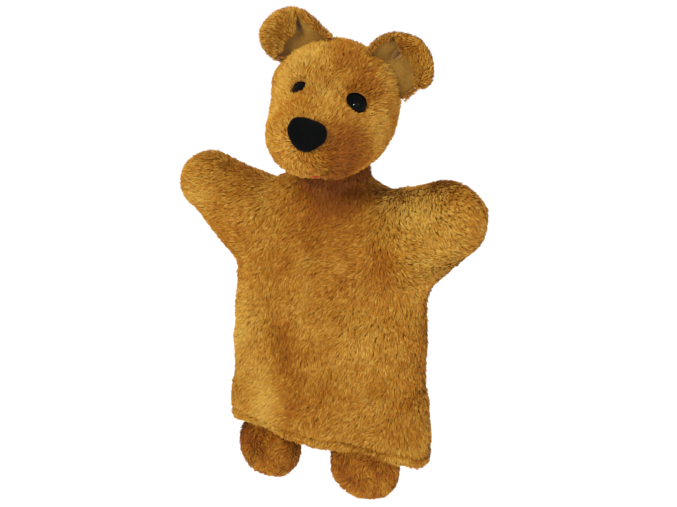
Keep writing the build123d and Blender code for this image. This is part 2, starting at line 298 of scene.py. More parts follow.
class Nodes:
    """A material whose Principled node is fed by a few others."""

    def __init__(self, name, roughness=0.8, sheen=0.0, tint=WHITE, gloss=0.5):
        self.material = bpy.data.materials.new(name)
        self.material.use_nodes = True
        self.tree = self.material.node_tree
        self.main = self.tree.nodes["Principled BSDF"]
        self.main.inputs["Roughness"].default_value = roughness
        self.main.inputs["Sheen Weight"].default_value = sheen
        self.main.inputs["Sheen Roughness"].default_value = 0.4
        self.main.inputs["Sheen Tint"].default_value = tint
        self.main.inputs["Specular IOR Level"].default_value = gloss

    def add(self, kind, **inputs):
        """A node with its inputs set or linked."""
        node = self.tree.nodes.new(kind)
        for key, value in inputs.items():
            self.set(node.inputs[key.replace("_", " ")], value)
        return node

    def set(self, socket, value):
        """Links another node's output to a socket, or sets a plain value."""
        if isinstance(value, bpy.types.NodeSocket):
            self.tree.links.new(value, socket)
        else:
            socket.default_value = value

    def ramp(self, factor, *stops):
        """Colours along a factor, each stop a position and a colour."""
        node = self.tree.nodes.new("ShaderNodeValToRGB")
        node.color_ramp.interpolation = "B_SPLINE" if len(stops) > 2 else "LINEAR"
        while len(node.color_ramp.elements) < len(stops):
            node.color_ramp.elements.new(0.5)
        for element, (at, colour) in zip(node.color_ramp.elements, stops):
            element.position = at
            element.color = colour
        self.set(node.inputs[0], factor)
        return node.outputs[0]

    def multiply(self, a, b):
        """One colour darkened by another."""
        node = self.tree.nodes.new("ShaderNodeMix")
        node.data_type = "RGBA"
        node.blend_type = "MULTIPLY"
        self.set(node.inputs[0], 1.0)
        self.set(node.inputs[6], a)
        self.set(node.inputs[7], b)
        return node.outputs[2]

    def noise(self, scale, detail, stretch=None):
        """Noise over the object, drawn out along an axis where stretch is under 1."""
        where = self.tree.nodes.new("ShaderNodeTexCoord").outputs["Object"]
        if stretch:
            where = self.add("ShaderNodeMapping", Vector=where, Scale=stretch).outputs[0]
        node = self.add("ShaderNodeTexNoise", Vector=where, Scale=scale, Detail=detail, Roughness=0.55)
        return node.outputs["Fac"]

    def bump(self, height, strength, distance):
        """Fine relief, its distance in metres."""
        node = self.add("ShaderNodeBump", Height=height, Strength=strength, Distance=distance)
        self.tree.links.new(node.outputs[0], self.main.inputs["Normal"])

    def colour(self, value):
        """The base colour."""
        self.set(self.main.inputs["Base Color"], value)


def pile_material(name, dark, middle, light):
    """Pile whose strands are laid out on their UV map: across it their tone, up it root to tip."""
    m = Nodes(name, roughness=0.75, sheen=0.07, tint=srgb(255, 214, 140), gloss=0.15)
    uv = m.tree.nodes.new("ShaderNodeUVMap")
    uv.uv_map = BAKE_MAP
    parts = m.add("ShaderNodeSeparateXYZ", Vector=uv.outputs[0])
    tone = m.ramp(parts.outputs[0], (0.0, dark), (0.5, middle), (1.0, light))
    # The roots are darkened: painted shade deep among the strands.
    root = (0.5, 0.4, 0.3, 1)
    shade = m.ramp(parts.outputs[1], (0.0, root), (0.6, WHITE))
    m.colour(m.multiply(tone, shade))
    return m.material


def skin_material(name, dark, light):
    """The cloth under the pile: knitted backing with short dense pile."""
    m = Nodes(name, roughness=0.9, gloss=0.1)
    m.colour(m.ramp(m.noise(900, 3), (0.35, dark), (0.65, light)))
    m.bump(m.noise(1500, 2), 0.6, 0.0006)
    return m.material


def velour_material(name, dark, light, sheen=0.0, tint=WHITE, gloss=0.2):
    """Short dense pile: soft clouds of tone with a fine grain on them."""
    m = Nodes(name, roughness=0.85, sheen=sheen, tint=tint, gloss=gloss)
    grain = m.noise(1300, 3)
    clouds = m.ramp(m.noise(90, 4), (0.3, dark), (0.7, light))
    m.colour(m.multiply(clouds, m.ramp(grain, (0.3, grey(0.7)), (0.7, WHITE))))
    m.bump(grain, 0.5, 0.0004)
    return m.material


def grainy_material(name, dark, light, scale, roughness, stretch=None, depth=0.0004):
    """Two tones in a fine grain that is also its relief: backing, thread, card or moulded plastic."""
    m = Nodes(name, roughness=roughness, gloss=0.3)
    grain = m.noise(scale, 2, stretch)
    m.colour(m.ramp(grain, (0.3, dark), (0.7, light)))
    m.bump(grain, 0.5, depth)
    return m.material


def thread_material(name, dark, light):
    """Sewing thread, its grain three times finer upwards."""
    return grainy_material(name, dark, light, 1800, 0.7, (1.0, 1.0, 3.0))


def eye_material():
    """Polished black plastic with hardly visible swirls."""
    m = Nodes("eye_black", gloss=0.05)
    swirls = m.noise(220, 2)
    m.colour(m.ramp(swirls, (0.3, srgb(3, 3, 4)), (0.7, srgb(9, 8, 8))))
    m.set(m.main.inputs["Roughness"], m.ramp(swirls, (0.3, grey(0.05)), (0.7, grey(0.08))))
    return m.material


def paper_material():
    """The studio's white paper, which glows a little so that it comes out even."""
    m = Nodes("paper", roughness=0.9)
    m.main.inputs["Emission Color"].default_value = WHITE
    m.main.inputs["Emission Strength"].default_value = 0.12
    m.colour(m.ramp(m.noise(3, 2), (0.0, grey(0.93)), (1.0, grey(0.97))))
    return m.material


GOLD = pile_material("golden_pile", srgb(136, 66, 3), srgb(187, 121, 14), srgb(218, 177, 80))
RED_GOLD = pile_material("foot_pile", srgb(123, 58, 3), srgb(168, 96, 8), srgb(203, 149, 48))
# The skins have the plush's colour, darkened as painted shade where they show deep between the strands.
GOLD_SKIN = skin_material("golden_skin", srgb(122, 72, 18), srgb(172, 112, 38))
FOOT_SKIN = skin_material("foot_skin", srgb(70, 34, 8), srgb(112, 60, 18))
EAR_VELOUR = velour_material(
    "ear_velour", srgb(133, 91, 24), srgb(163, 120, 45), sheen=0.14, tint=srgb(225, 185, 115)
)
NOSE_VELOUR = velour_material("nose_velour", srgb(4, 4, 5), srgb(9, 10, 10), gloss=0.04)
BACKING = grainy_material("backing", srgb(120, 84, 40), srgb(176, 132, 74), 2200, 0.95, (1.0, 1.0, 0.4))
OCHRE_THREAD = thread_material("ochre_thread", srgb(112, 62, 18), srgb(160, 104, 40))
RED_THREAD = thread_material("red_thread", srgb(150, 14, 10), srgb(205, 40, 26))
WASHER = grainy_material(
    "washer_plastic", srgb(196, 194, 188), srgb(222, 220, 214), 600, 0.4, depth=0.0001
)
CARD = grainy_material("tube_card", srgb(150, 122, 86), srgb(186, 158, 116), 700, 0.85, (1.0, 1.0, 0.25))
EYE_BLACK = eye_material()

# ---- pile

# How a coat grows: strands to a square millimetre, a strand's width, the width of a lock, and how
# far a lock's strands are drawn together.
BODY_COAT = dict(density=4.4, width=0.48, clump=1.6, pull=0.55)
HEAD_COAT = dict(density=4.6, width=0.48, clump=1.6, pull=0.55)
EAR_COAT = dict(density=5.0, width=0.44, clump=1.3, pull=0.4)
LEAN = 0.95  # how far a strand leans over from upright, in radians
STRAND_TONE, LOCK_TONE = 0.16, 0.08  # how much the tone differs between strands and between locks


def scattered(source, density, rng):
    """Points spread evenly over a mesh, with the way its surface faces there."""
    corner, normal = triangles(source)
    cross = np.cross(corner[:, 1] - corner[:, 0], corner[:, 2] - corner[:, 0])
    area = 0.5 * np.linalg.norm(cross, axis=1)
    count = int(area.sum() * density)
    at = (np.arange(count) + rng.uniform(0, 1, count)) / count * area.sum()
    which = np.minimum(np.searchsorted(np.cumsum(area), at), len(area) - 1)
    r = rng.uniform(0, 1, (count, 2))
    r = np.where((r.sum(1) > 1)[:, None], 1 - r, r)
    share = np.stack([1 - r.sum(1), r[:, 0], r[:, 1]], 1)[..., None]
    return (corner[which] * share).sum(1), unit((normal[which] * share).sum(1))


def combed(root, out, nap, length, rng):
    """Bends each strand over along nap; gives its middle, its tip and the way to its side."""
    count = len(root)
    along = nap(root)
    along = unit(along - out * (along * out).sum(1, keepdims=True) + TINY)
    reach = length(root) if callable(length) else length
    size = (reach * rng.uniform(0.72, 1.15, count))[:, None]
    side = np.cross(out, along)
    bend = (LEAN * rng.uniform(0.75, 1.25, count))[:, None]
    along = along + side * (0.25 * rng.normal(size=count))[:, None]
    low = unit(out * np.cos(bend * 0.55) + along * np.sin(bend * 0.55))
    high = unit(out * np.cos(bend * 1.25) + along * np.sin(bend * 1.25))
    middle = root + low * (size * 0.5)
    return middle, middle + high * (size * 0.55), side


def gathered(root, middle, tip, locks, pull, rng):
    """Draws each strand towards the strand in the middle of its lock; says which lock that is."""
    heads = rng.choice(len(root), locks, replace=False)
    tree = KDTree(locks)
    for i, h in enumerate(heads):
        tree.insert(root[h], i)
    tree.balance()
    lock = np.array([tree.find(p)[1] for p in root])
    drawn = (tip[heads][lock] - tip) * (pull * rng.uniform(0.5, 1.2, len(root)))[:, None]
    return middle + drawn * 0.25, tip + drawn, lock


def half_width(root, tip, out, side, width, rng):
    """The way from each strand's middle to its edge: strands are flat and a little rolled."""
    across = unit(np.cross(tip - root, out) + side * 1e-3)
    facing = unit(np.cross(across, tip - root))
    roll = rng.normal(0, 0.5, len(root))[:, None]
    half = (0.5 * width * rng.uniform(0.7, 1.3, len(root)) / math.sqrt(DETAIL))[:, None]
    return half * unit(across * np.cos(roll) + facing * np.sin(roll))


def strands(name, points, shade):
    """Strands of four points each: root, two at the middle, tip. The UV map holds tone and height."""
    corners = np.array([0, 1, 2, 2, 1, 3])
    height = np.array([0.02, 0.5, 0.5, 0.98])
    faces = (np.arange(len(points))[:, None] * 4 + corners).reshape(-1, 3)
    obj = mesh_object(name, points.reshape(-1, 3), faces)
    uv = np.stack(np.broadcast_arrays(shade[:, None], height[corners][None, :]), -1)
    layer = obj.data.uv_layers.new(name=BAKE_MAP)
    layer.data.foreach_set("uv", uv.astype(np.float32).ravel())
    return obj


def pile(name, source, material, nap, length, tone, seed, coat=BODY_COAT, keep=None):
    """A coat of short strands on source, combed along nap and gathered in small locks."""
    rng = np.random.default_rng(seed)
    density = coat["density"] * DETAIL
    root, out = scattered(source, density, rng)
    if keep is not None:
        kept = keep(root)
        root, out = root[kept], out[kept]
    count = len(root)
    locks = max(int(count / (density * coat["clump"] ** 2)), 1)
    middle, tip, side = combed(root, out, nap, length, rng)
    middle, tip, lock = gathered(root, middle, tip, locks, coat["pull"], rng)
    across = half_width(root, tip, out, side, coat["width"], rng)
    shade = tone(root) + STRAND_TONE * rng.normal(size=count) + LOCK_TONE * rng.normal(size=locks)[lock]
    points = np.stack([root, middle + across, middle - across, tip], 1)
    obj = strands(name, points, np.clip(shade, 0.02, 0.98))
    dress(obj, material)
    return obj


def swirl(direction, p, size, amount, seed):
    """Turns directions in the plane of the front by smooth noise."""
    angle = amount * waves(p, size, seed)
    c, s = np.cos(angle), np.sin(angle)
    x, z = direction[:, 0], direction[:, 2]
    return np.stack([x * c - z * s, direction[:, 1], x * s + z * c], 1)


def patches(p, spots):
    """The sum of soft spots, each a centre, its reach along each axis, and how much it adds."""
    total = np.zeros(len(p))
    for centre, reach, amount in spots:
        total += amount * np.exp(-(((p - np.array(centre, float)) / np.array(reach, float)) ** 2).sum(1))
    return total


# ---- sewing

STITCH_SHARE = 0.72  # of the pitch
STITCH_RISE = 0.35


def tube(points, radius, sides=6):
    """A round tube along points, its ends narrowed until all but closed."""
    ahead = unit(np.gradient(points, axis=0))
    side = unit(np.cross(ahead, np.array([0.31, 0.17, 0.93])))
    up = np.cross(side, ahead)
    turn = np.linspace(0, 2 * math.pi, sides, endpoint=False)[:, None]
    narrowing = np.ones(len(points))
    narrowing[[0, -1]] = 0.15
    round_it = side[:, None] * np.cos(turn) + up[:, None] * np.sin(turn)
    rings = points[:, None] + radius * narrowing[:, None, None] * round_it
    return rings.reshape(-1, 3), grid_faces(len(points), sides, closed=True)


def threads(name, runs, radius, material):
    """Stitches, each a short tube along its own run of points."""
    points, quads, start = [], [], 0
    for run in runs:
        more, faces = tube(np.asarray(run, float), radius)
        points.append(more)
        quads.append(faces + start)
        start += len(more)
    obj = mesh_object(name, np.concatenate(points), np.concatenate(quads))
    dress(obj, material)
    return obj


def running_stitches(path, pitch):
    """Cuts a closed path round the Z axis into stitches whose middles rise from the cloth."""
    closed = np.concatenate([path, path[:1]])
    along = np.concatenate([[0], np.cumsum(np.linalg.norm(np.diff(closed, axis=0), axis=1))])
    for begin in np.arange(0, along[-1] - pitch, pitch):
        at = begin + pitch * STITCH_SHARE * np.linspace(0, 1, 5)
        run = np.stack([np.interp(at, along, closed[:, k]) for k in range(3)], 1)
        out = unit(run[:, :2] * (1, 2.5))  # roughly outwards, as the body is flat
        run[:, :2] += out * STITCH_RISE * np.array([-1, 0.7, 1, 0.7, -1])[:, None]
        yield run


def seam_stitches(name, panel):
    """Whip stitches over the open edge that a panel shares with the one behind it."""
    mesh = panel.data
    co = np.array([v.co for v in mesh.vertices]) / MM
    no = np.array([v.normal for v in mesh.vertices])
    used = {}
    for polygon in mesh.polygons:
        for edge in polygon.edge_keys:
            used[edge] = used.get(edge, 0) + 1
    rim = sorted({v for e, n in used.items() if n == 1 for v in e if abs(co[v][1]) < 2 * SEAM_GAP})
    runs = []
    for v in rim[::2]:
        out = unit(no[v] * (1, 0, 1))
        slant = np.array([0.25 * out[2], 1, -0.25 * out[0]])
        across = np.array([-1.3, -0.7, 0, 0.7, 1.3])[:, None] * slant
        over = out * np.array([-0.6, 0.25, 0.5, 0.25, -0.6])[:, None]
        runs.append(co[v] * (1, 0, 1) + across + over)
    return threads(name, runs, 0.28, OCHRE_THREAD)


# ---- glove

SKIN = 2.2  # backing and the dense foot of the pile
PILE_LENGTH = 4.2
HEM = -1.0
HEM_STITCH = 5.6
NECK_CUT = 154.5
SEAM_GAP = 0.15  # half the gap between two panels that meet in a seam
BODY_LEVELS = np.array(
    [
        # height, half width on the puppet's left and right, half depth
        (-16.0, 62.2, 62.2, 23.0),
        (0.0, 62.0, 62.0, 23.5),
        (25.0, 59.4, 58.6, 23.0),
        (50.0, 57.6, 57.2, 22.5),
        (75.0, 57.8, 56.6, 21.5),
        (98.0, 58.0, 53.6, 20.0),
        (118.0, 48.0, 48.0, 18.0),
        (134.0, 40.5, 40.0, 16.5),
        (147.0, 32.5, 29.0, 15.5),
        (151.0, 24.8, 23.0, 14.5),
        (156.0, 19.6, 18.5, 13.0),
        (160.0, 8.0, 8.0, 6.0),
        (163.0, 1.0, 1.0, 1.0),
    ]
)
ARMS = {
    "left": dict(side=1, root=(45.0, 121.5), root_r=27.5, tip=(73.6, 139.2), tip_r=18.8),
    "right": dict(side=-1, root=(-44.0, 121.5), root_r=25.2, tip=(-75.6, 138.0), tip_r=16.1),
}
ARM_WEB = 7.0  # the fillet between an arm and the body
ARM_FLAT = 1.5  # an arm is this much taller than it is deep
FOLD_START = (56.0, 97.0)  # x and z under the arm, where the fold into the sleeve begins
FOLD_ALONG = (20.4, 9.0)  # from there to where it ends
PAW_FOLD = 13.0  # how far beyond that the paw's fold reaches
CREASES = (
    # from and to, each as x and z, then width and depth; the last is a ridge
    ((-50, 92), (-8, 40), 7, 2.4),
    ((52, 98), (14, 78), 7, 2.2),
    ((6, 128), (-6, 60), 10, 1.8),
    ((-28, 60), (-34, 6), 8, 1.6),
    ((26, 56), (34, 4), 8, 1.6),
    ((2, 50), (6, 2), 9, -1.5),
)
GLOVE_SPOTS = (
    # The next two spots are painted shadow under the chin and down the chest.
    ((13, -14, 147), (22, 18, 9), -0.6),  # under the chin: painted shadow
    ((8, -15, 134), (20, 16, 16), -0.3),
    ((2, -20, 108), (6, 16, 22), -0.2),
    ((41, -14, 112), (7, 16, 22), -0.3),  # the left armpit: painted shade under the arm
    ((-19, -22, 57), (9, 16, 16), -0.28),
    ((3, -22, 30), (13, 16, 18), -0.26),
    ((-66, -14, 150), (16, 16, 12), -0.12),
    ((-70, -12, 130), (26, 24, 22), 0.2),  # the right arm
    ((68, -12, 138), (28, 24, 26), 0.24),  # the left arm
    ((52, -8, 146), (20, 16, 10), 0.42),
    ((-30, -20, 22), (9, 16, 26), 0.42),  # the pale lower corner
    ((-52, -12, 40), (12, 16, 44), 0.26),
    ((-14, -22, 30), (7, 16, 30), -0.16),
    ((20, -20, 75), (12, 16, 26), 0.14),
    ((66, -12, 118), (18, 16, 12), 0.16),
)


def body_halves(z, on_left):
    """The torso's half width and half depth at each height."""
    level, left, right, depth = BODY_LEVELS.T
    width = np.where(on_left, np.interp(z, level, left), np.interp(z, level, right))
    return width, np.interp(z, level, depth)


def body_field(p):
    """About the distance from the torso without its arms."""
    x, y, z = p[:, 0], p[:, 1], p[:, 2]
    w, d = body_halves(z, x > 0)
    a = np.hypot(x / w, y / d)
    b = np.hypot(x / w**2, y / d**2)
    return a * (a - 1) / np.maximum(b, TINY)


def glove_field(p):
    """The torso and both arms, puffed and creased as a hand inside leaves them."""
    f = body_field(p)
    for arm in ARMS.values():
        (ax, az), (bx, bz) = arm["root"], arm["tip"]
        bar = taper(p * np.array([1, ARM_FLAT, 1]), (ax, 0, az), (bx, 0, bz), arm["root_r"], arm["tip_r"])
        f = smooth_union(f, bar, ARM_WEB)
    f = f + 0.9 * waves(p, 26, 3) + 0.45 * waves(p, 12, 4)
    for valley in CREASES:
        f = f + crease(p, *valley)
    # The hem is turned up and stitched, so it swells below its stitches.
    return f + 1.1 * hill(p[:, 2], HEM_STITCH, 1.5) - 0.5 * hill(p[:, 2], 2.0, 2.2)


def hem_lift(p):
    """The hem hangs in waves: it lifts over the right foot and sinks over the left."""
    x, z = p[:, 0], p[:, 2]
    wave = 4.4 * hill(x, -40, 13) - 1.6 * hill(x, 2, 11)
    wave = wave - 7.8 * np.clip((x - 8) / 34, 0, 1) ** 1.5 - 2.2 * np.clip((-x - 50) / 10, 0, 1)
    wave = wave - 3.5 * np.clip((x - 48) / 12, 0, 1) * np.clip(1 - np.abs(p[:, 1]) / 16, 0, 1)
    in_front = np.clip(0.9 - np.abs(p[:, 1] + 8) / 30, 0, 1)
    return wave * np.clip((34 - z) / 34, 0, 1.05) ** 2 * in_front


def glove_length(p):
    """The pile is cropped where the hem is stitched, and short below."""
    z = p[:, 2] - hem_lift(p)
    size = PILE_LENGTH - 2.6 * hill(z, HEM_STITCH, 1.1)
    return size * np.interp(z, (0.5, HEM_STITCH), (0.35, 1.0))


def glove_nap(p):
    """Down and across the body, and out along the arms."""
    lean = np.interp(p[:, 0], (-50, 0, 25, 50), (-0.75, -0.25, -0.7, 0.1))
    nap = np.stack([lean, -0.2 + 0 * lean, -1.0 + 0 * lean], 1)
    for arm in ARMS.values():
        line = unit(np.array(arm["tip"]) - np.array(arm["root"]))
        reach = np.clip((p[:, 0] * arm["side"] - 30) / 28, 0, 1) * np.clip((p[:, 2] - 88) / 24, 0, 1)
        out = np.array([line[0], 0, line[1] - 0.9])
        nap = nap * (1 - reach[:, None]) + out * reach[:, None]
    nap = swirl(nap, p, 30, 0.5, 31)
    nap[:, 1] += 0.25 * waves(p, 10, 33)
    return swirl(nap, p, 8, 0.28, 32)


def glove_tone(p):
    """Mottled, a little darker upwards, with painted shade in the groove where the stitches pull the pile
    in.
    """
    shade = 0.5 + 0.09 * waves(p, 26, 41) + 0.06 * waves(p, 7, 42) + 0.0008 * (70 - p[:, 2])
    # Painted shade in the hem's groove.
    shade = shade - 0.35 * hill(p[:, 2] - hem_lift(p), HEM_STITCH, 1.0)
    return shade + patches(p, GLOVE_SPOTS)


def fold_plane(side, share):
    """The plane between torso and sleeve (share 0) and between sleeve and paw (share 1), as a point and a
    normal.
    """
    x = FOLD_START[0] + FOLD_ALONG[0] * share
    z = FOLD_START[1] + FOLD_ALONG[1] * share
    return (side * x, 0, z), (side * FOLD_ALONG[0], 0, FOLD_ALONG[1])


def turned(plane):
    """The same plane, keeping its other side."""
    point, normal = plane
    return point, tuple(-c for c in normal)


def follow(obj, part, name):
    """Attaches the torso's pieces to the glove; a sleeve's or a paw's pieces only have their placing
    applied to their mesh.
    """
    if part == "torso":
        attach(obj, "glove")
        return
    begin, normal = fold_plane(ARMS[name]["side"], 0)
    end, _ = fold_plane(ARMS[name]["side"], 1)
    if part == "sleeve":
        Vector(begin) * MM
        Vector(end) * MM
        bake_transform(obj)
    else:
        curled = Vector(end) + Vector(normal).normalized() * PAW_FOLD
        Vector(end) * MM
        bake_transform(obj)


def glove_panels():
    """Each pair of panels: part, whose arm, its limits, flat size, cut area and the seams' nodes."""
    above_hem = ((0, 0, HEM), (0, 0, 1))
    below_neck = ((0, 0, NECK_CUT), (0, 0, -1))
    between_arms = [turned(fold_plane(1, 0)), turned(fold_plane(-1, 0))]
    side_seams = ["side_seam_left", "side_seam_right"]
    yield "torso", None, [above_hem, below_neck, *between_arms], (0.125, 0.160), 0.0185, side_seams
    for name, arm in ARMS.items():
        inner, outer = fold_plane(arm["side"], 0), fold_plane(arm["side"], 1)
        sleeve_seams = [f"sleeve_{name}_seam_top", f"sleeve_{name}_seam_under"]
        yield "sleeve", name, [above_hem, inner, turned(outer)], (0.024, 0.056), None, sleeve_seams
        yield "paw", name, [outer], (0.042, 0.046), 0.0014, [f"paw_{name}_seam"]


def make_glove():
    """Cuts the glove's surface into front and back panels, each with its coat, and sews them."""
    whole = mesh_object("glove_surface", *surface(glove_field, (-112, -36, -14), (112, 36, 168), 1.4))
    glove = smoothed(whole)
    seed = 100
    for part, name, limits, flat, area, seams in glove_panels():
        label = f"{part}_{name}" if name else part
        for face, facing in (("front", -1), ("back", 1)):
            seed += 1
            halved = ((0, facing * SEAM_GAP, 0), (0, facing, 0))
            panel = trimmed(f"{label}_{face}_cloth", glove, [*limits, halved])
            if part == "torso":
                lift(panel, hem_lift)
            dress(panel, GOLD_SKIN, BACKING)
            coat = pile(f"{label}_{face}_pile", panel, GOLD, glove_nap, glove_length, glove_tone, seed)
            if face == "front":
                seam = seam_stitches(f"{label}_seam_thread", panel)
                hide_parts(*seams)
                follow(seam, part, name)
            thicken(panel, SKIN)
            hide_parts(f"{label}_{face}")
            for obj in (panel, coat):
                follow(obj, part, name)
    bpy.data.objects.remove(glove)


def body_outline(z, out):
    """The torso's outline at height z, moved out by out."""
    angle = np.linspace(0, 2 * math.pi, 240, endpoint=False)
    w, d = body_halves(z, np.cos(angle) > 0)
    p = np.stack([(w + out) * np.cos(angle), (d + out) * np.sin(angle), z + 0 * angle], 1)
    p[:, 2] += hem_lift(p)
    return p


def make_hem_stitch():
    """The row of stitches that holds the turned-up hem."""
    runs = running_stitches(body_outline(HEM_STITCH, -0.2), 4.0)
    hem = threads("hem_thread", runs, 0.42, OCHRE_THREAD)
    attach(hem, "glove")
    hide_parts("hem_stitch")


make_glove()
make_hem_stitch()

# ---- neck

NECK = np.array([0.0, 0.0, 150.0])  # the pivot
HEAD_NOD, HEAD_TILT, HEAD_TURN = -3.0, 6.0, 8.0
HEAD = np.array(
    Matrix.Rotation(math.radians(HEAD_NOD), 3, "X")
    @ Matrix.Rotation(math.radians(HEAD_TILT), 3, "Y")
    @ Matrix.Rotation(math.radians(HEAD_TURN), 3, "Z")
)
NECK_PILE_LENGTH = 4.6
NECK_STITCH_R = 16.0


def place(obj):
    """Moves a mesh from the head's frame, whose origin is the neck's pivot, to the puppet's."""
    matrix = Matrix(HEAD.tolist()).to_4x4()
    matrix.translation = Vector(NECK) * MM
    obj.data.transform(matrix)
    return obj


def neck_field(p):
    """An egg in the head's frame, of which the neck is the middle."""
    return ellipsoid(p, (0.6, 0, 4.0), (19.2, 16.5, 20.0)) + 0.4 * waves(p, 8, 71)


def neck_nap(p):
    """Down, and a little outwards."""
    return np.stack([0.3 * p[:, 0], 0.3 * p[:, 1], -14 + 0 * p[:, 0]], 1)


def neck_tone(p):
    """Dark, as it is in the head's shade."""
    return 0.1 + 0.1 * waves(p, 9, 72)


def make_neck():
    """The plush sleeve between glove and head, and the stitch that gathers it."""
    whole = mesh_object("neck_whole", *surface(neck_field, (-22, -22, -16), (22, 22, 26), 1.3))
    neck = trimmed("neck_cloth", whole, [((0, 0, -9), (0, 0, 1)), ((0, 0, 16), (0, 0, -1))])
    bpy.data.objects.remove(whole)
    dress(neck, GOLD_SKIN, BACKING)
    # The neck takes the feet's darker, redder pile and a dark tone: painted shade under the head.
    neck_pile = pile("neck_pile", neck, RED_GOLD, neck_nap, NECK_PILE_LENGTH, neck_tone, 131)
    thicken(neck, SKIN)
    for obj in (neck, neck_pile):
        place(obj)
        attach(obj, "neck")
    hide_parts("neck_sleeve")

    turn = np.linspace(0, 2 * math.pi, 60, endpoint=False)
    ring = np.stack([NECK_STITCH_R * np.cos(turn), NECK_STITCH_R * np.sin(turn), NECK[2] + 0 * turn], 1)
    gather = threads("neck_thread", running_stitches(ring, 3.6), 0.4, OCHRE_THREAD)
    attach(gather, "neck_ring")
    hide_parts("neck_stitch")


make_neck()

# ---- head, in its own frame

CRANIUM = (-1.2, 1.0, 42.5)
# Each eye: where its middle meets the cloth, how far its dome stands out of the cloth, and the
# opening in the fur that shows it, as the rise of its long axis and the half lengths of its axes.
EYES = {
    "left": dict(seat=np.array([16.8, -25.3, 54.9]), out=2.9, rise=-46.0, opening=(6.5, 5.7)),
    "right": dict(seat=np.array([-15.9, -26.2, 56.3]), out=1.3, rise=49.0, opening=(5.7, 3.7)),
}
EYE_RADIUS = 6.2
EYE_HEIGHT = 4.5
EYE_OUT = unit(np.array([0.4557, -0.7787, 0.4314]))  # the way the left eye looks
WASHER_DEPTH = 6.5  # under the dome's middle
WASHER_RING = (4.2, 2.6)  # the radius of its middle line, and half its width
NOSE = np.array([0.0, -57.0, 41.5])
NOSE_TURN = np.array(Matrix.Rotation(math.radians(-14), 3, "X"))
NOSE_HALF_DEPTH = 7.0
NOSE_POWER = 2.4  # 2 is an ellipsoid, more is fuller
HEAD_PILE_LENGTH = 4.5
HEAD_SPOTS = (
    # The next two spots are painted shade on the muzzle's left side and under it, away from the key lamp.
    ((17, -42, 30), (9, 16, 15), -0.62),  # beside the muzzle: painted shade
    ((10, -38, 16), (12, 16, 8), -0.35),
    ((5, -22, 74), (12, 16, 11), -0.38),  # forehead
    ((19, -22, 66), (9, 12, 9), -0.36),
    ((12, -30, 60), (5, 8, 8), -0.15),
    ((-15, -16, 77), (13, 14, 9), 0.34),  # right temple and cheek
    ((-25, -18, 48), (8, 18, 24), 0.2),
    ((26, -14, 42), (8, 14, 14), 0.12),
    ((2, -36, 56), (5, 12, 7), 0.16),
    ((4, -24, 70), (22, 20, 14), 0.14),
)


def eye_axis(name):
    """The way an eye looks."""
    return EYE_OUT * (1 if name == "left" else -1, 1, 1)


def eye_opening(p, name):
    """0 in the middle of an eye's opening, 1 at its edge."""
    eye, axis = EYES[name], eye_axis(name)
    rise = math.radians(eye["rise"])
    level = unit(np.cross((0, 0, 1), axis))
    up = np.cross(axis, level)
    long = level * math.cos(rise) + up * math.sin(rise)
    short = up * math.cos(rise) - level * math.sin(rise)
    half_long, half_short = eye["opening"]
    q = p - eye["seat"]
    return np.sqrt((q @ long / half_long) ** 2 + (q @ short / half_short) ** 2 + (q @ axis / 9) ** 2)


def head_field(p):
    """Cranium, cheeks, brows and muzzle, with a dent for each eye."""
    f = ellipsoid(p, CRANIUM, (31.0, 33.0, 34.5))
    for s, cheek, brow in ((-1, 17.5, 11.2), (1, 14.0, 12.0)):
        f = smooth_union(f, ellipsoid(p, (s * 13.0, -10.0, 36.0), (cheek, 20.0, 18.0)), 10)
        f = smooth_union(f, ellipsoid(p, (s * 15.0, -2.0, 59.5), (brow, 19.0, brow - 0.5)), 10)
    # The puppet's right temple is fuller.
    f = smooth_union(f, ellipsoid(p, (-20.8, -1.0, 53.6), (14.2, 15.0, 10.0)), 8)
    muzzle = ellipsoid(p, (-1.0, -28.0, 32.4), (25.7, 26.5, 19.6))
    muzzle = smooth_union(muzzle, ellipsoid(p, (0.0, -37.0, 38.0), (15.0, 17.5, 14.0)), 8)
    f = smooth_union(f, muzzle, 9)
    for name in EYES:
        f = f + 1.2 * np.exp(-(eye_opening(p, name) ** 4))
    return f + 0.5 * waves(p, 14, 11)


def nose_field(p):
    """A padded shield: widest above its middle and narrower below."""
    q = (p - NOSE) @ NOSE_TURN - (0.5, 1.5, 0.9)
    angle = np.arctan2(q[:, 2], q[:, 0])
    outline = 9.6 + 0.95 * np.cos(2 * angle + 0.2) + 0.25 * np.cos(3 * angle) + 0.7 * np.sin(3 * angle)
    flat = np.hypot(q[:, 0], q[:, 2]) / outline
    full = flat**NOSE_POWER + np.abs(q[:, 1] / NOSE_HALF_DEPTH) ** NOSE_POWER
    return (full ** (1 / NOSE_POWER) - 1) * 8.5 + 0.12 * waves(p, 5, 81)


def on_face(x, z):
    """How far forward the face's cloth is at x and z."""
    y = np.arange(-70.0, 0.0, 0.1)
    return y[np.argmax(head_field(np.stack([x + 0 * y, y, z + 0 * y], 1)) < 0)]


MOUTH = np.array([4.0, on_face(4.0, 16.0) - 3.2, 16.0])


def beside_mouth(p):
    """0 in the middle of the mouth stitch, 1 round it."""
    return np.linalg.norm((p - MOUTH - (0, 2.5, 1.2)) / (3.6, 4.0, 2.6), axis=1)


def head_length(p):
    """The pile is cropped round the eyes, the nose and the mouth."""
    size = HEAD_PILE_LENGTH * (0.25 + 0.75 * np.clip(beside_mouth(p) / 2.5, 0, 1))
    for name in EYES:
        size = size * (0.55 + 0.45 * np.clip(eye_opening(p, name) - 0.9, 0, 1))
    return size * (0.62 + 0.38 * np.clip((nose_field(p) - 1) / 9.0, 0, 1))


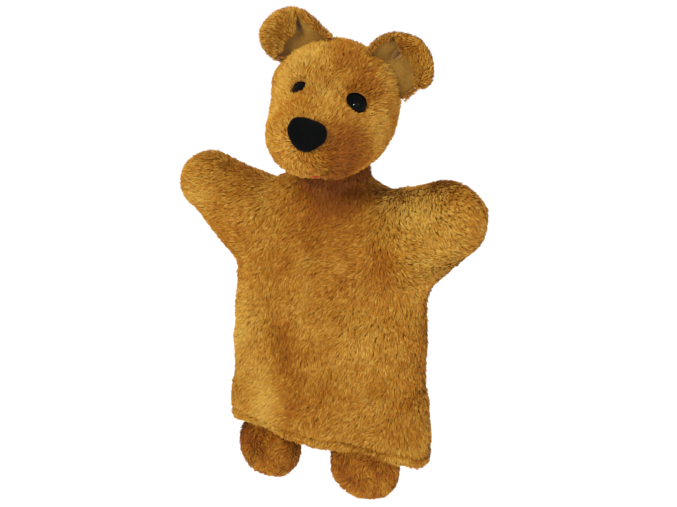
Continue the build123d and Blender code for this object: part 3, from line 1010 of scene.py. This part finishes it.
def head_keep(p):
    """No pile grows under the nose, in the eyes' openings and at the mouth stitch."""
    clear = (nose_field(p) > -0.5) & (beside_mouth(p) > 1)
    return clear & (eye_opening(p, "left") > 1) & (eye_opening(p, "right") > 1)


def head_nap(p):
    """Away from the nose, over the crown and down the cheeks."""
    away = (p - NOSE - (0, 1, -1)) * (1, 0.6, 1)
    away = unit(away) + np.array([0.0, 0.3, 0.1])
    away = swirl(away, p, 22, 0.75, 51)
    return swirl(away, p, 7, 0.45, 52)


def head_tone(p):
    """Mottled, with dark and pale patches of the face, of which the dark patches beside and under the
    muzzle are painted shade.
    """
    shade = 0.5 + 0.11 * waves(p, 15, 61) + 0.06 * waves(p, 6, 62)
    return shade + patches(p, HEAD_SPOTS)


def make_head():
    """The stuffed head in one, with its coat."""
    head = smoothed(mesh_object("head_plush", *surface(head_field, (-46, -66, -2), (46, 44, 88), 1.2)))
    dress(head, GOLD_SKIN)
    head_pile = pile("head_pile", head, GOLD, head_nap, head_length, head_tone, 141, HEAD_COAT, head_keep)
    for obj in (head, head_pile):
        place(obj)
        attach(obj, "head")
    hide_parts("head_side_left", "head_side_right", "head_gusset", "chin_gusset", "head_stuffing")


def make_nose():
    """The padded velour nose."""
    nose = place(mesh_object("nose_velour", *surface(nose_field, (-18, -74, 24), (18, -42, 60), 0.6)))
    dress(nose, NOSE_VELOUR)
    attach(nose, "head")
    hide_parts("nose_cover", "nose_filling")


def make_eye(name):
    """A polished dome on the cloth, and the washer that locks its shank behind the cloth."""
    axis = eye_axis(name)
    centre = EYES[name]["seat"] + axis * (EYES[name]["out"] - EYE_HEIGHT)

    def along_and_across(p):
        along = (p - centre) @ axis
        return along, np.linalg.norm(p - centre - along[:, None] * axis, axis=1)

    def dome_field(p):
        along, flat = along_and_across(p)
        return (np.hypot(flat / EYE_RADIUS, along / EYE_HEIGHT) - 1) * 4.8

    def washer_field(p):
        along, flat = along_and_across(p)
        middle, half = WASHER_RING
        return np.maximum(np.abs(along + WASHER_DEPTH) - 0.8, np.abs(flat - middle) - half) - 0.3

    for kind, field, material, slot, node in (
        ("dome", dome_field, EYE_BLACK, "eye_black", f"eye_{name}"),
        ("washer", washer_field, WASHER, "washer_plastic", f"eye_washer_{name}"),
    ):
        obj = mesh_object(f"eye_{name}_{kind}", *surface(field, centre - 12, centre + 12, 0.45))
        dress(obj, material)
        place(obj)
        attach(obj, "head")
        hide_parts(node)


def make_mouth():
    """One thick red stitch under the muzzle."""
    t = np.linspace(-1, 1, 9)
    line = MOUTH + np.stack([2.4 * t, 0.5 * t, 0.4 * t**2], 1)
    mouth = threads("mouth_thread", [line @ HEAD.T + NECK], 0.75, RED_THREAD)
    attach(mouth, "head")
    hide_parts("mouth_stitch")


make_head()
make_nose()
for name in EYES:
    make_eye(name)
make_mouth()

# ---- ears, in the head's frame

# Each ear: where its root's middle is and how it leans outwards (degrees); how far its rim is out
# at its sides, how much more at its top, and how lopsided it is; the angle where its flap starts,
# the flap's width and its narrowing; the angle where the flap ends, and the last row's angle.
EARS = {
    "left": dict(
        side=1, place=(28.5, 0.0, 65.7), lean=35.4, reach=16.0, tall=9.6, skew=-1.3,
        start=136.0, flap=7.7, taper=0.42, end=45.0, last=-20.0,
    ),
    "right": dict(
        side=-1, place=(21.9, 0.0, 73.4), lean=35.3, reach=12.9, tall=9.4, skew=5.1,
        start=105.6, flap=11.8, taper=0.61, end=-10.0, last=2.0,
    ),
}
EAR_FIRST = 178.0  # the first row's angle
EAR_ROWS, EAR_COLUMNS = 64, 72
EAR_WRAP = 1.7  # how far the plush wraps over the lining where there is no flap
EAR_SINK = 7.0  # how deep the root's middle goes into the head
EAR_FOLD = 6.0  # how deep the fold is where the flap begins
EAR_PLUSH, EAR_LINING = 1.6, 0.9  # the thickness of each layer
EAR_PILE_LENGTH = 3.6


def ear_turn(name):
    """The turn that leans an ear outwards."""
    return np.array(Matrix.Rotation(math.radians(EARS[name]["lean"]), 3, "Y"))


def ear_rows(ear):
    """For each row: its angle, how far its rim is out, the radius it bends over, the flap's width."""
    angle = np.linspace(EAR_FIRST, ear["last"], EAR_ROWS)
    turn = np.radians(angle)
    top = ear["tall"] * np.clip(np.sin(turn), 0, 1) ** 1.3
    rim = ear["reach"] + top + ear["skew"] * np.sin(2 * turn)
    ended = eased((ear["end"] - angle) / 12)
    rim = rim * (1 - 0.3 * ended)
    share = eased((ear["start"] - angle) / 30) * (1 - ended)
    flap = ear["flap"] * (1 - ear["taper"] * np.clip((70 - angle) / 55, 0, 1) ** 2)
    width = np.maximum(flap * share, EAR_WRAP - ended)
    return turn, rim[:, None], (0.7 + 2.3 * share)[:, None], width[:, None]


def ear_sheet(name, offset, edge=0.0):
    """One layer of a folded ear, offset from its middle and short of its edge by edge.
    Each row runs out from the root's centre, over the rim and back in along the flap."""
    ear = EARS[name]
    turn, rim, bend, width = ear_rows(ear)
    straight = rim - bend
    total = straight + np.minimum(math.pi * bend, width * 1.2) + np.maximum(width - bend, 0) - edge
    s = np.linspace(0.12, 1, EAR_COLUMNS)[None, :] ** 0.8 * total
    over = np.clip((s - straight) / bend, 0, math.pi)
    beyond = np.clip(s - straight - math.pi * bend, 0, None)
    rho = np.minimum(s, straight) + bend * np.sin(over) - beyond + offset * np.sin(over)
    depth = -bend * (1 - np.cos(over)) + 0.12 * beyond + offset * np.cos(over)
    x, z = rho * np.cos(turn)[:, None], rho * np.sin(turn)[:, None]
    # A deep fold where the flap begins.
    spot, out = math.radians(ear["start"] - 20), 0.62 * rim.max()
    away = np.hypot(x - out * math.cos(spot), (z - out * math.sin(spot)) / 2.2)
    depth = depth + EAR_FOLD * hill(away, 0, 2.0) * (over < 0.1)
    # The ear is cupped, its sides wrapped forward, and its root goes down into the head.
    points = np.stack([x, depth, z], -1)
    points[..., 1] += 3.5 - 0.016 * x**2 - 0.10 * z
    points[..., 1] += 0.35 * waves(points.reshape(-1, 3), 9, 91 + ear["side"]).reshape(x.shape)
    points[..., 2] -= 2.0 + EAR_SINK * np.clip(1 - rho / rim, 0, 1) ** 1.5
    points = (points.reshape(-1, 3) @ ear_turn(name).T + ear["place"]) * (ear["side"], 1, 1)
    quads = grid_faces(EAR_ROWS, EAR_COLUMNS)
    if (ear["side"] < 0) != (offset < 0):
        quads = quads[:, ::-1]
    return points, quads


def ear_nap(name):
    """Outwards from the ear's root and a little forwards."""
    ear = EARS[name]

    def nap(p):
        q = (p * (ear["side"], 1, 1) - ear["place"]) @ ear_turn(name)
        out = unit(np.stack([q[:, 0] * 0.6, -1.0 + 0 * q[:, 0], q[:, 2] + 4], 1))
        return swirl(out @ ear_turn(name).T * (ear["side"], 1, 1), p, 12, 0.6, 95)

    return nap


def ear_tone(p):
    """A little paler than the head."""
    return 0.55 + 0.12 * waves(p, 14, 96) + 0.08 * waves(p, 5, 97)


def make_ear(name):
    """Plush outside with its coat, and a smooth lining inside."""
    outer = mesh_object(f"ear_{name}_cloth", *ear_sheet(name, 0.9))
    dress(outer, GOLD_SKIN, BACKING)
    seed = 150 + EARS[name]["side"]
    coat = pile(f"ear_{name}_pile", outer, GOLD, ear_nap(name), EAR_PILE_LENGTH, ear_tone, seed, EAR_COAT)
    thicken(outer, EAR_PLUSH)
    lining = mesh_object(f"ear_{name}_velour", *ear_sheet(name, -1.7, edge=0.6))
    dress(lining, EAR_VELOUR)
    thicken(lining, EAR_LINING)
    for obj in (outer, coat, lining):
        place(obj)
        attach(obj, f"ear_{name}")
    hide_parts(f"ear_{name}_plush")
    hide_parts(f"ear_{name}_lining")


for name in EARS:
    make_ear(name)

# ---- feet

FEET = {
    "left": dict(side=1, centre=(28.2, -12.5, -14.2), half=(18.3, 9.0, 16.2)),
    "right": dict(side=-1, centre=(-32.3, -12.5, -12.8), half=(17.0, 8.8, 16.0)),
}
FOOT_PILE_LENGTH = 3.8


def foot_field(name):
    """A padded disc whose upper part goes up inside the hem."""
    (x, y, z), (width, depth, height) = FEET[name]["centre"], FEET[name]["half"]

    def field(p):
        f = ellipsoid(p, (x, y, z), (width, depth, height))
        f = smooth_union(f, ellipsoid(p, (x, y, z + 8), (width - 2, depth - 0.5, 9)), 6)
        return f + 0.35 * waves(p, 10, 21)

    return field


def foot_nap(p):
    """Down, in strong swirls."""
    down = np.stack([0.02 * (np.abs(p[:, 0]) - 30), -0.2 + 0 * p[:, 0], -1 + 0 * p[:, 0]], 1)
    return swirl(down, p, 10, 0.9, 171)


def foot_tone(p):
    """Paler downwards."""
    return 0.45 + 0.14 * waves(p, 10, 172) + 0.1 * waves(p, 5, 173) - 0.012 * (p[:, 2] + 10)


def make_foot(name):
    """A padded foot in one, with its coat."""
    centre = np.array(FEET[name]["centre"])
    box = centre - (24, 16, 22), centre + (24, 16, 24)
    cover = mesh_object(f"foot_{name}_cloth", *surface(foot_field(name), *box, 1.1))
    dress(cover, FOOT_SKIN)
    seed = 160 + FEET[name]["side"]
    coat = pile(f"foot_{name}_pile", cover, RED_GOLD, foot_nap, FOOT_PILE_LENGTH, foot_tone, seed)
    for obj in (cover, coat):
        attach(obj, f"foot_{name}")
    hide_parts(f"foot_{name}_front", f"foot_{name}_back", f"foot_{name}_filling")


for name in FEET:
    make_foot(name)

# ---- the finger tube, inside

tube_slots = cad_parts["finger_tube"].data.materials
tube_slots.clear()
tube_slots.append(CARD)

# ---- light and floor

FLOOR_HEIGHT = -0.16  # metres, as all lengths here


def area_light(name, where, size, power):
    """A square lamp that looks at the puppet's middle."""
    light = bpy.data.objects.new(name, bpy.data.lights.new(name, "AREA"))
    light.data.size = size
    light.data.energy = power
    scene.collection.objects.link(light)
    light.location = where
    light.rotation_mode = "QUATERNION"
    light.rotation_quaternion = (Vector((0, 0, 0.11)) - Vector(where)).to_track_quat("-Z", "Y")
    return light


def light_studio():
    """A bright even room, a key lamp in front above, and weaker lamps at the side and behind."""
    world = bpy.data.worlds.new("studio")
    scene.world = world
    world.use_nodes = True
    world.node_tree.nodes["Background"].inputs[0].default_value = WHITE
    world.node_tree.nodes["Background"].inputs[1].default_value = 0.85
    key = area_light("key", (-0.25, -1.25, 1.15), 0.5, 14.0)
    key.visible_glossy = False
    area_light("fill", (1.3, -0.9, 0.5), 0.9, 4.0)
    area_light("rim", (0.2, 1.2, 1.2), 0.8, 5.0)
    # A small lamp that is mostly seen as the spark in the eyes.
    spark = area_light("spark", tuple(TARGET + TO_CAMERA * 1.1), 0.07, 12.0)
    spark.visible_diffuse = False


def lay_floor():
    """A plain pale floor."""
    bpy.ops.mesh.primitive_plane_add(size=12, location=(0, 0, FLOOR_HEIGHT))
    floor = bpy.context.object
    floor.name = "floor"
    dress(floor, paper_material())


light_studio()
lay_floor()
scene.view_settings.view_transform = "Standard"
